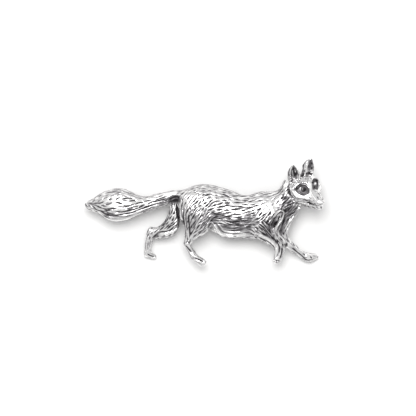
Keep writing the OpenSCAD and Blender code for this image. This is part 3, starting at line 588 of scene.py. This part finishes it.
# The bright strands, raised only where the ground is dark enough.
strandSet = {
    "ground": 0.26, "acrossShare": 1.2, "coatDark": 0.85, "longer": 1.5, "half": 0.16,
    "halves": (0.7, 1.4), "height": 0.07, "clear": 0.9, "clears": (0.5, 1.0),
}
coatTable = np.array(coat, float)
coatPlaces = np.stack(onSheet(coatTable[:, 0], coatTable[:, 1]), axis=1)
coatLie = np.radians(coatTable[:, 2]) * 2.0


def coatAt(x, y):
    # hair settings at many places, blended from the nearest rows of the table
    gap = (x[:, None] - coatPlaces[None, :, 0]) ** 2 + (y[:, None] - coatPlaces[None, :, 1]) ** 2
    share = 1.0 / (gap + coatSet["blend"]) ** coatSet["nearness"]
    share /= share.sum(axis=1, keepdims=True)
    angle = 0.5 * np.arctan2(share @ np.sin(coatLie), share @ np.cos(coatLie))
    return angle, *(share @ coatTable[:, 3:]).T


def hairLie(place, normal, turn):
    angle = float(coatAt(np.array([place.x]), np.array([place.y]))[0][0]) + turn
    lie = Vector((math.cos(angle), math.sin(angle), 0.0))
    lie -= normal * lie.dot(normal)
    return lie.normalized() if lie.length > 1e-4 else Vector((1, 0, 0))


def isClear(cells, key, place, lie, aside, reach):
    # no stroke chosen before lies in the oval around this place
    for dx, dy, dz in itertools.product((-1, 0, 1), repeat=3):
        for other in cells.get((key[0] + dx, key[1] + dy, key[2] + dz), ()):
            gap = place - other
            along, across = float(gap @ lie) / reach[0], float(gap @ aside) / reach[1]
            if along * along + across * across < 1.0:
                return False
    return True


def scatterStrokes(chooser, acrossShare, groundFrom):
    # strokes lie clear of each other: far along the hair, near across it
    usable = np.flatnonzero((normals[:, 2] > coatSet["facing"]) & (points[:, 2] > coatSet["lowest"]))
    order = usable.tolist()
    chooser.shuffle(order)
    order = order[: len(order) // coatSet["oneIn"]]
    angle, length, gap, depth, ground, ink = coatAt(points[order, 0], points[order, 1])
    cells, chosen = {}, []
    for i, index in enumerate(order):
        if ground[i] < groundFrom:
            continue
        place, normal = points[index], normals[index]
        spread = chooser.uniform(*coatSet["spread"])
        lie = np.array([math.cos(angle[i]), math.sin(angle[i]), 0.0])
        lie -= normal * float(lie @ normal)
        size = np.linalg.norm(lie)
        if size < coatSet["steepest"]:
            continue
        lie /= size
        reach = (coatSet["alongShare"] * length[i] * spread, acrossShare * gap[i] * spread)
        key = tuple(int(math.floor(v / coatSet["cell"])) for v in place)
        if isClear(cells, key, place, lie, np.cross(normal, lie), reach):
            cells.setdefault(key, []).append(place)
            chosen.append((index, length[i], gap[i], depth[i], ink[i]))
    return chosen


def traceStroke(start, normal, length, turn):
    # a short run of places that follows the hair over the form
    runs = []
    for way in (-1, 1):
        place, facing, run = Vector(start), Vector(normal), []
        for _ in range(max(2, int(length / 2 / coatSet["step"]))):
            place = place + hairLie(place, facing, turn) * coatSet["step"] * way
            hit = surface.find_nearest(place)
            if hit[0] is None or hit[1].z < coatSet["facing"] - coatSet["overEdge"]:
                break
            place, facing = hit[0], hit[1]
            run.append(place.copy())
        runs.append(run)
    return runs[0][::-1] + [Vector(start)] + runs[1]


def layStroke(tree, chooser, index, span, half, halves, share=1.0):
    # the places near one new stroke, how far they are from its middle line, and how full it is there
    turn = math.radians(chooser.gauss(0, coatSet["wander"]))
    line = traceStroke(points[index], normals[index], span, turn)
    if len(line) < coatSet["fewest"]:
        return None
    half = half * chooser.uniform(*halves) * share
    lean = chooser.uniform(*coatSet["lean"])
    found = tree.find_range(Vector(points[index]), span / 2 + coatSet["margin"])
    near = np.array([hit[1] for hit in found])
    near = near[(normals[near] @ normals[index]) > coatSet["sameSide"]]
    distance, along = distanceToLine(points[near], np.array(line))
    swell = np.where(along < lean, along / lean, (1 - along) / (1 - lean))
    swell = riseFrom(coatSet["thinEnd"], np.clip(swell, 0, 1) ** coatSet["swell"])
    return near, distance / (half * swell), swell


def cutCoat(tree, chooser):
    chosen = scatterStrokes(chooser, coatSet["acrossShare"], 0.0)
    faceX, faceY = onSheet(strokeSet["faceAcross"], strokeSet["faceDown"])
    aside = (points[:, 0] - faceX) / strokeSet["faceWide"]
    below = (points[:, 1] - faceY) / strokeSet["faceHigh"]
    onFace = (np.hypot(aside, below) < 1.0) & (points[:, 2] > strokeSet["faceLevel"])
    inkFacing = easeBetween(*strokeSet["inkFacing"], normals[:, 2])
    for index, length, gap, depth, ink in chosen:
        darkEnough = strokeSet["faceDark"] if onFace[index] else strokeSet["coatDark"]
        if dark[index] > darkEnough or raised[index] > coatSet["onRidge"]:
            continue
        span = length * chooser.uniform(*coatSet["longer"])
        ink = min(1.0, strokeSet["darker"] * ink * chooser.uniform(*strokeSet["inks"])) * inkFacing[index]
        half = strokeSet["half"] + strokeSet["halfPerGap"] * gap
        share = strokeSet["faceShare"] if onFace[index] else 1.0
        laid = layStroke(tree, chooser, index, span, half, strokeSet["halves"], share)
        if laid is None:
            continue
        near, ratio, swell = laid
        form = np.clip(1 - ratio ** 2, 0, 1) ** strokeSet["round"] * swell
        keepMost(furDepth, near, depth * chooser.uniform(*strokeSet["depths"]) * form)
        inkForm = 1 - easeBetween(*strokeSet["inkEdge"], ratio)
        keepMost(furInk, near, ink * inkForm * swell ** strokeSet["inkSwell"])
        rim = np.exp(-((ratio - strokeSet["rimAt"]) / strokeSet["rimHalf"]) ** 2)
        keepMost(furRim, near, strokeSet["rim"] * depth * rim * swell)
    return len(chosen)


def raiseStrands(tree, chooser):
    # bright hairs that stand up out of the darkened ground
    chosen = scatterStrokes(chooser, strandSet["acrossShare"], strandSet["ground"])
    for index, length, gap, depth, ink in chosen:
        if dark[index] > strandSet["coatDark"] or raised[index] > coatSet["onRidge"]:
            continue
        span = length * strandSet["longer"] * chooser.uniform(*coatSet["longer"])
        laid = layStroke(tree, chooser, index, span, strandSet["half"], strandSet["halves"])
        if laid is None:
            continue
        near, ratio, swell = laid
        form = np.exp(-ratio ** 2) * swell
        keepMost(strandHeight, near, strandSet["height"] * form)
        keepMost(strandClear, near, strandSet["clear"] * chooser.uniform(*strandSet["clears"]) * form)
    return len(chosen)


for spot in modelledSpots.values():
    modelSpot(*spot)
for line in modelledLines.values():
    modelLine(*line)
print("modelled lines and spots:", len(modelledLines) + len(modelledSpots))

furDepth, furInk, furRim, strandHeight, strandClear = np.zeros((5, len(points)))
tree = placeTree(points)
furChooser = random.Random(coatSet["seed"])
print("coat strokes:", cutCoat(tree, furChooser))
print("coat strands:", raiseStrands(tree, furChooser))

# Where the dark finish stays: shares of it, and from which hollowness or facing to which. The dark finish
# is patina, with painted shade on steep walls and in the shade ovals.
finishSet = {
    "ridgeClean": 0.9, "ridge": (0.04, 0.16), "ground": 0.75, "groundFacing": (-0.3, 0.2),
    "groundGain": 1.4, "groundRounds": 25, "sides": 0.55, "sidesFacing": (-0.1, 0.36), "most": 0.95,
    "fine": 0.55, "fineFrom": (0.25, 1.0), "fineRounds": 10, "fineDepth": 0.05,
    "broad": 0.8, "broadFrom": (0.3, 1.0), "broadRounds": 90, "broadDepth": 0.22,
    "strands": 0.5, "worn": 0.35, "wornFrom": (0.2, 0.9), "faces": 190000,
}
# the raised lines stay clean
plain = 1 - finishSet["ridgeClean"] * easeBetween(*finishSet["ridge"], raised)
furInk *= plain
strandClear *= plain
furHeight = (furRim * (furDepth < 1e-3) - furDepth * (1 - strandClear) + strandHeight) * plain
writePoints(fox, points + normals * (raised - cutDepth + furHeight)[:, None])


def hollowness(mesh, rounds, full):
    place, facing = readPoints(mesh), readNormals(mesh)
    eased = relaxPoints(place, edges, np.full(len(place), blankSet["pull"]), rounds)
    return np.clip(((eased - place) * facing).sum(axis=1) / full, -1.0, 1.0)


fine = hollowness(fox, finishSet["fineRounds"], finishSet["fineDepth"])
broad = hollowness(fox, finishSet["broadRounds"], finishSet["broadDepth"])
ground = coatAt(points[:, 0], points[:, 1])[4] * easeBetween(*finishSet["groundFacing"], normals[:, 2])
ground *= 1.0 + finishSet["groundGain"] * relaxValues(furInk, edges, finishSet["groundRounds"])
# steep walls and the back are not reached by the polishing wheel and keep patina; this darkening by
# steepness is also painted shade along the edges
sides = finishSet["sides"] * (1.0 - easeBetween(*finishSet["sidesFacing"], normals[:, 2]))
patinaAndShade = np.maximum(dark, np.clip(furInk, 0, 1) * (1 - strandClear))
patinaAndShade = np.maximum(patinaAndShade, finishSet["fine"] * easeBetween(*finishSet["fineFrom"], fine))
patinaAndShade = np.maximum(patinaAndShade, finishSet["broad"] * easeBetween(*finishSet["broadFrom"], broad))
patinaAndShade = 1 - (1 - patinaAndShade) * (1 - finishSet["ground"] * ground * (1 - strandClear)) * (1 - sides)
patinaAndShade *= 1 - finishSet["strands"] * strandClear
patinaAndShade -= finishSet["worn"] * easeBetween(*finishSet["wornFrom"], -fine) * patinaAndShade
patinaAndShade = np.clip(relaxValues(patinaAndShade, edges, 1), 0, finishSet["most"]) * (1 - polishAndGlint)
print("finish placed")


def finishCasting(mesh, values, most):
    # fewer faces where the form is plain, and the finish carried over to what is left
    piece = addPiece("foxCasting", mesh)
    finder = placeTree(readPoints(mesh))
    thin = piece.modifiers.new("thin", "DECIMATE")
    thin.ratio = min(1.0, most / (2.0 * len(mesh.polygons)))
    final = appliedMesh(piece)
    piece.modifiers.clear()
    piece.data = final
    source = np.array([finder.find(p)[1] for p in readPoints(final).tolist()])
    layer = final.attributes.new("patinaAndShade", "FLOAT", "POINT")
    layer.data.foreach_set("value", values[source].astype(np.float32))
    final.transform(Matrix.Scale(1 / mmPerMetre, 4))
    final.polygons.foreach_set("use_smooth", [True] * len(final.polygons))
    final.update()
    return piece


foxPiece = finishCasting(fox, patinaAndShade, finishSet["faces"])
print("casting:", len(foxPiece.data.polygons), "faces")


# Finishes: two shared effects, then the two metals.
def join(tree, source, target):
    tree.links.new(source, target)


def calc(tree, operation, a, b, clamp=False):
    node = tree.nodes.new("ShaderNodeMath")
    node.operation = operation
    node.use_clamp = clamp
    for slotIndex, value in enumerate((a, b)):
        if isinstance(value, (int, float)):
            node.inputs[slotIndex].default_value = value
        elif value is not None:
            join(tree, value, node.inputs[slotIndex])
    return node.outputs[0]


def newGroup(name, given, outputs):
    group = bpy.data.node_groups.new(name, "ShaderNodeTree")
    for label, value in given.items():
        socket = group.interface.new_socket(label, in_out="INPUT", socket_type="NodeSocketFloat")
        socket.default_value = value
    for label in outputs:
        group.interface.new_socket(label, in_out="OUTPUT", socket_type="NodeSocketFloat")
    return group, group.nodes.new("NodeGroupInput"), group.nodes.new("NodeGroupOutput")


def addNoise(tree, place, scale, detail):
    noise = tree.nodes.new("ShaderNodeTexNoise")
    noise.inputs["Detail"].default_value = detail
    join(tree, place, noise.inputs["Vector"])
    join(tree, scale, noise.inputs["Scale"])
    return noise.outputs["Fac"]


def mixColours(tree, share, low, high):
    mix = tree.nodes.new("ShaderNodeMix")
    mix.data_type = "RGBA"
    mix.inputs["A"].default_value = low
    mix.inputs["B"].default_value = high
    join(tree, share, mix.inputs["Factor"])
    return mix.outputs["Result"]


# Pits and marks per mm, until a material sets its own, and how much coarser the mottle is.
effectSet = {
    "pits": 4.0, "pitDetail": 3.0, "mottleScale": 0.16, "mottleDetail": 2.0,
    "marks": 2.0, "markDetail": 2.0, "markTurn": (0.0, 0.0, 0.5), "markStretch": (0.12, 1.0, 1.0),
}


def castGrain():
    # fine pitting and soft unevenness of cast metal
    group, given, out = newGroup("castGrain", {"Pits per mm": effectSet["pits"]}, ("Height", "Mottle"))
    place = group.nodes.new("ShaderNodeTexCoord").outputs["Object"]
    scale = calc(group, "MULTIPLY", given.outputs["Pits per mm"], mmPerMetre)
    join(group, addNoise(group, place, scale, effectSet["pitDetail"]), out.inputs["Height"])
    scale = calc(group, "MULTIPLY", scale, effectSet["mottleScale"])
    join(group, addNoise(group, place, scale, effectSet["mottleDetail"]), out.inputs["Mottle"])
    return group


def polishMarks():
    # hair-fine marks of the polishing wheel
    group, given, out = newGroup("polishMarks", {"Marks per mm": effectSet["marks"]}, ("Marks",))
    coords = group.nodes.new("ShaderNodeTexCoord")
    stretch = group.nodes.new("ShaderNodeMapping")
    stretch.inputs["Rotation"].default_value = effectSet["markTurn"]
    stretch.inputs["Scale"].default_value = effectSet["markStretch"]
    join(group, coords.outputs["Object"], stretch.inputs["Vector"])
    scale = calc(group, "MULTIPLY", given.outputs["Marks per mm"], mmPerMetre)
    marks = addNoise(group, stretch.outputs["Vector"], scale, effectSet["markDetail"])
    join(group, marks, out.inputs["Marks"])
    return group


grainGroup = castGrain()
marksGroup = polishMarks()


def metalMaterial(name, settings):
    # a material with both shared effects in it, the pits as its bump
    material = bpy.data.materials.new(name)
    material.use_nodes = True
    tree = material.node_tree
    shader = tree.nodes["Principled BSDF"]
    grain = tree.nodes.new("ShaderNodeGroup")
    grain.node_tree = grainGroup
    grain.inputs["Pits per mm"].default_value = settings["pits"]
    marks = tree.nodes.new("ShaderNodeGroup")
    marks.node_tree = marksGroup
    marks.inputs["Marks per mm"].default_value = settings["marks"]
    bump = tree.nodes.new("ShaderNodeBump")
    bump.inputs["Strength"].default_value = settings["bump"]
    bump.inputs["Distance"].default_value = settings["bumpDepth"]
    join(tree, grain.outputs["Height"], bump.inputs["Height"])
    join(tree, bump.outputs["Normal"], shader.inputs["Normal"])
    return material, tree, shader, grain, marks


silverSet = {
    "bright": (0.90, 0.895, 0.89, 1.0), "grey": (0.30, 0.29, 0.30, 1.0), "dark": (0.026, 0.024, 0.026, 1.0),
    "brightTo": 0.08, "greyAt": 0.45, "darkFrom": 0.90, "uneven": 0.5, "metalLoss": 0.45, "sheen": 0.15,
    "smooth": 0.20, "dull": 0.48, "marked": 0.22, "pits": 5.0, "marks": 2.5,
    "bump": 0.25, "bumpDepth": 0.00004,
}


def antiqueSilver():
    material, tree, shader, grain, marks = metalMaterial("antiqueSilver", silverSet)
    # the mask of patina, with the painted shade and painted highlights in it
    patinaShadeNode = tree.nodes.new("ShaderNodeAttribute")
    patinaShadeNode.attribute_name = "patinaAndShade"
    # the dark finish is worn unevenly where it is thin
    uneven = calc(tree, "SUBTRACT", grain.outputs["Mottle"], 0.5)
    uneven = calc(tree, "MULTIPLY", uneven, silverSet["uneven"])
    mask = calc(tree, "ADD", patinaShadeNode.outputs["Fac"], uneven, clamp=True)
    ramp = tree.nodes.new("ShaderNodeValToRGB")
    join(tree, mask, ramp.inputs["Fac"])
    stops = ramp.color_ramp.elements
    stops[0].position, stops[0].color = silverSet["brightTo"], silverSet["bright"]
    stops[1].position, stops[1].color = silverSet["darkFrom"], silverSet["dark"]
    stops.new(silverSet["greyAt"]).color = silverSet["grey"]
    join(tree, ramp.outputs["Color"], shader.inputs["Base Color"])
    shader.inputs["Specular IOR Level"].default_value = silverSet["sheen"]
    dulled = calc(tree, "MULTIPLY", mask, silverSet["dull"] - silverSet["smooth"])
    marked = calc(tree, "SUBTRACT", marks.outputs["Marks"], 0.5)
    marked = calc(tree, "MULTIPLY", marked, silverSet["marked"])
    roughness = calc(tree, "ADD", silverSet["smooth"], dulled)
    join(tree, calc(tree, "ADD", roughness, marked, clamp=True), shader.inputs["Roughness"])
    lessMetal = calc(tree, "MULTIPLY", mask, silverSet["metalLoss"])
    join(tree, calc(tree, "SUBTRACT", 1.0, lessMetal, clamp=True), shader.inputs["Metallic"])
    return material


steelSet = {
    "colour": (0.56, 0.56, 0.57, 1.0), "worn": (0.46, 0.455, 0.45, 1.0), "smooth": 0.18, "marked": 0.28,
    "pits": 3.0, "marks": 3.5, "bump": 0.15, "bumpDepth": 0.00003,
}


def platedSteel():
    material, tree, shader, grain, marks = metalMaterial("platedSteel", steelSet)
    shader.inputs["Metallic"].default_value = 1.0
    colour = mixColours(tree, grain.outputs["Mottle"], steelSet["colour"], steelSet["worn"])
    join(tree, colour, shader.inputs["Base Color"])
    marked = calc(tree, "MULTIPLY", marks.outputs["Marks"], steelSet["marked"])
    join(tree, calc(tree, "ADD", steelSet["smooth"], marked), shader.inputs["Roughness"])
    return material


foxPiece.data.materials.clear()
foxPiece.data.materials.append(antiqueSilver())
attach(foxPiece, "root")
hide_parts("fox_casting")

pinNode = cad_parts["bar_pin"]
pinNode.data.materials.clear()
pinNode.data.materials.append(platedSteel())
print("finishes made")

# Floor, light and camera: lengths in metres, the camera's film in mm.
stageSet = {
    "floorSize": 1.6, "floorColour": (0.838, 0.836, 0.83, 1.0), "floorRough": 0.9,
    "skyTop": (1.0, 1.0, 1.0, 1.0), "skyLow": (0.70, 0.70, 0.71, 1.0), "skyPower": 0.80,
    "skyLift": 1.4, "skyLean": 0.15, "skyStart": -0.06,
    "lampPlace": (-0.03, 0.16, 0.54), "lampSize": 0.33, "lampPower": 2.4,
}


def layFloor():
    mesh = bpy.data.meshes.new("floor")
    half = stageSet["floorSize"] / 2
    corners = [(-half, -half, 0), (half, -half, 0), (half, half, 0), (-half, half, 0)]
    mesh.from_pydata(corners, [], [(0, 1, 2, 3)])
    floor = addPiece("floor", mesh)
    material = bpy.data.materials.new("paperWhite")
    material.use_nodes = True
    shader = material.node_tree.nodes["Principled BSDF"]
    shader.inputs["Base Color"].default_value = stageSet["floorColour"]
    shader.inputs["Roughness"].default_value = stageSet["floorRough"]
    shader.inputs["Specular IOR Level"].default_value = 0.0
    mesh.materials.append(material)


def lightScene():
    world = bpy.data.worlds.new("softRoom")
    world.use_nodes = True
    tree = world.node_tree
    coords = tree.nodes.new("ShaderNodeTexCoord")
    split = tree.nodes.new("ShaderNodeSeparateXYZ")
    join(tree, coords.outputs["Generated"], split.inputs["Vector"])
    height = calc(tree, "ABSOLUTE", split.outputs["Z"], None)
    lift = calc(tree, "MULTIPLY", height, stageSet["skyLift"])
    lean = calc(tree, "MULTIPLY", split.outputs["Y"], stageSet["skyLean"])
    share = calc(tree, "ADD", calc(tree, "ADD", lift, lean), stageSet["skyStart"], clamp=True)
    background = tree.nodes["Background"]
    background.inputs["Strength"].default_value = stageSet["skyPower"]
    sky = mixColours(tree, share, stageSet["skyLow"], stageSet["skyTop"])
    join(tree, sky, background.inputs["Color"])
    scene.world = world
    lamp = bpy.data.lights.new("softBox", "AREA")
    lamp.shape = "DISK"
    lamp.size = stageSet["lampSize"]
    lamp.energy = stageSet["lampPower"]
    holder = addPiece("softBox", lamp)
    holder.location = stageSet["lampPlace"]
    holder.rotation_euler = (-Vector(stageSet["lampPlace"])).to_track_quat("-Z", "Y").to_euler()


cameraSet = {
    "across": 0.000975, "up": 0.000978, "level": 0.006, "distance": 0.9, "width": 0.1084,
    "film": 36.0, "near": 0.01, "far": 10.0,
}


def placeCamera():
    # straight above, as the photograph was taken
    data = bpy.data.cameras.new("camera")
    data.sensor_width = cameraSet["film"]
    data.lens = cameraSet["film"] * cameraSet["distance"] / cameraSet["width"]
    data.clip_start, data.clip_end = cameraSet["near"], cameraSet["far"]
    camera = addPiece("camera", data)
    camera.location = (cameraSet["across"], cameraSet["up"], cameraSet["level"] + cameraSet["distance"])
    camera.rotation_euler = (0.0, 0.0, 0.0)
    scene.camera = camera


layFloor()
lightScene()
placeCamera()
scene.view_settings.view_transform = "Standard"
scene.view_settings.look = "None"
print("stage set")
